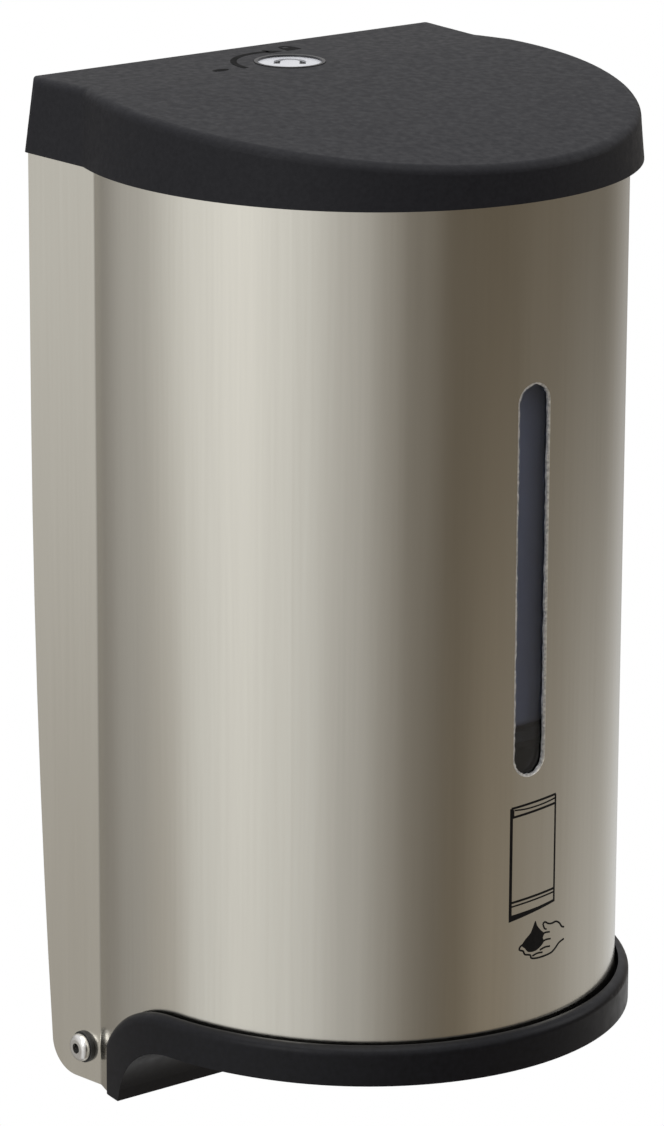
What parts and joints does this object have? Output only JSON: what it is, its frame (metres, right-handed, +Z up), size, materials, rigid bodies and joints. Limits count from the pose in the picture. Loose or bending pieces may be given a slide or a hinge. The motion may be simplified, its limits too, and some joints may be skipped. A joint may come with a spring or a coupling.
{
  "type": "soap dispenser",
  "caption": "Wall mounted automatic liquid soap dispenser with a hinged metal cover, black lid with a key lock, viewing slot and drip nozzle under the front.",
  "frame": {"origin": "on the wall face, at the centre of the four wall screw holes", "axes": "+Z up, +Y into the wall, +X to the right for someone facing the dispenser"},
  "size_m": [0.146, 0.1289, 0.2713],
  "materials": {
    "satin_metal": "satin champagne stainless steel",
    "lid_black": "fine grained matt",
    "trim_black": "satin moulded",
    "bush_black": "smooth",
    "steel": "turned",
    "lock_silver": "pale satin",
    "lock_black": "black",
    "brass": "turned",
    "clear_lens": "polished",
    "foam_tape": "foam",
    "dark_lens": "polished",
    "tank_plastic": "translucent",
    "cap_plastic": "moulded",
    "silicone": "translucent silicone",
    "chassis_plastic": "spark eroded",
    "pump_plastic": "moulded",
    "acetal": "acetal",
    "circuit_board": "solder mask",
    "component_black": "moulded",
    "led_epoxy": "polished",
    "cell_jacket": "foil jacket",
    "nickel": "plated",
    "lead_black": "sleeve",
    "lead_red": "sleeve",
    "lead_grey": "sleeve"
  },
  "bodies": {
    "chassis": {"back_plate": "chassis_plastic", "latch_keeper": "steel", "shelf": "chassis_plastic", "chassis_screws": "steel", "hinge_screws": "steel", "hinge_inserts": "brass", "reservoir": "tank_plastic", "valve_seat": "silicone", "valve_cage": "pump_plastic", "valve_spring": "steel", "outlet_socket": "cap_plastic", "socket_seal": "silicone", "pump_housing": "pump_plastic", "pump_plate": "pump_plastic", "pump_tube": "silicone", "nozzle": "pump_plastic", "gearbox_housing": "pump_plastic", "gearbox_cover": "pump_plastic", "idler_axle": "steel", "motor_can": "steel", "motor_endcap": "pump_plastic", "battery_box": "chassis_plastic", "battery_cells": "cell_jacket", "battery_contacts": "nickel", "main_pcb": "circuit_board", "pcb_components": "component_black", "sensor_board": "circuit_board", "sensor_leds": "led_epoxy", "power_switch_body": "chassis_plastic", "battery_lead": "lead_black", "motor_lead": "lead_red", "sensor_lead": "lead_grey"},
    "cover": {"cover_shell": "satin_metal", "lid": "lid_black", "base_trim": "trim_black", "window_lens": "clear_lens", "window_tape": "foam_tape", "lock_barrel": "lock_black", "lock_nut": "steel", "cover_screws": "steel", "sensor_window": "dark_lens", "hinge_bushings": "bush_black"},
    "lock": {"lock_plug": "lock_silver", "lock_cam": "steel", "lock_cam_screw": "steel"},
    "cap": {"reservoir_cap": "cap_plastic", "cap_seal": "silicone"},
    "poppet": {"valve_poppet": "pump_plastic"},
    "pump_drive": {"pump_rotor": "acetal", "rotor_shaft": "steel", "rotor_gear": "acetal", "roller_pins": "steel"},
    "roller_one": {"roller_1": "acetal"},
    "roller_two": {"roller_2": "acetal"},
    "roller_three": {"roller_3": "acetal"},
    "idler": {"idler_gear": "acetal"},
    "motor_spindle": {"motor_shaft": "steel", "motor_pinion": "brass"},
    "battery_hatch": {"battery_door": "chassis_plastic"},
    "switch_knob": {"power_switch_knob": "component_black"}
  },
  "joints": [
    {"name": "cover_hinge", "type": "hinge", "parent": "chassis", "child": "cover", "pos_m": [0, -0.019, -0.1223], "axis": [1, 0, 0], "range_deg": [0, 90]},
    {"name": "lock_turn", "type": "hinge", "parent": "cover", "child": "lock", "pos_m": [0, -0.024, 0.13], "axis": [0, 0, -1], "range_deg": [0, 90]},
    {"name": "cap_turn", "type": "hinge", "parent": "chassis", "child": "cap", "pos_m": [0, -0.072, 0.096], "axis": [0, 0, 1], "range_deg": [0, 90]},
    {"name": "poppet_lift", "type": "slide", "parent": "chassis", "child": "poppet", "axis": [0, 0, 1], "range_m": [0, 0.0015], "stiffness_N_per_m": 150, "springref_m": -0.002, "deforming": ["valve_spring"]},
    {"name": "rotor_spin", "type": "hinge", "parent": "chassis", "child": "pump_drive", "pos_m": [0, -0.08, -0.062], "axis": [1, 0, 0], "continuous": true},
    {"name": "idler_spin", "type": "hinge", "parent": "chassis", "child": "idler", "pos_m": [0, -0.06196, -0.05543], "axis": [1, 0, 0], "continuous": true},
    {"name": "motor_spin", "type": "hinge", "parent": "chassis", "child": "motor_spindle", "pos_m": [0, -0.04316, -0.06227], "axis": [1, 0, 0], "continuous": true},
    {"name": "roller_1_spin", "type": "hinge", "parent": "pump_drive", "child": "roller_one", "pos_m": [0, -0.08, -0.0528], "axis": [1, 0, 0], "continuous": true},
    {"name": "roller_2_spin", "type": "hinge", "parent": "pump_drive", "child": "roller_two", "pos_m": [0, -0.08797, -0.0666], "axis": [1, 0, 0], "continuous": true},
    {"name": "roller_3_spin", "type": "hinge", "parent": "pump_drive", "child": "roller_three", "pos_m": [0, -0.07203, -0.0666], "axis": [1, 0, 0], "continuous": true},
    {"name": "hatch_slide", "type": "slide", "parent": "chassis", "child": "battery_hatch", "axis": [0, 0, 1], "range_m": [0, 0.01]},
    {"name": "power_slide", "type": "slide", "parent": "chassis", "child": "switch_knob", "axis": [0, 1, 0], "range_m": [0, 0.003]}
  ],
  "couplings": [
    {"joint": "idler_spin", "follows": "rotor_spin", "ratio": -3},
    {"joint": "motor_spin", "follows": "rotor_spin", "ratio": 12},
    {"joint": "roller_1_spin", "follows": "rotor_spin", "ratio": -3.3},
    {"joint": "roller_2_spin", "follows": "rotor_spin", "ratio": -3.3},
    {"joint": "roller_3_spin", "follows": "rotor_spin", "ratio": -3.3}
  ]
}
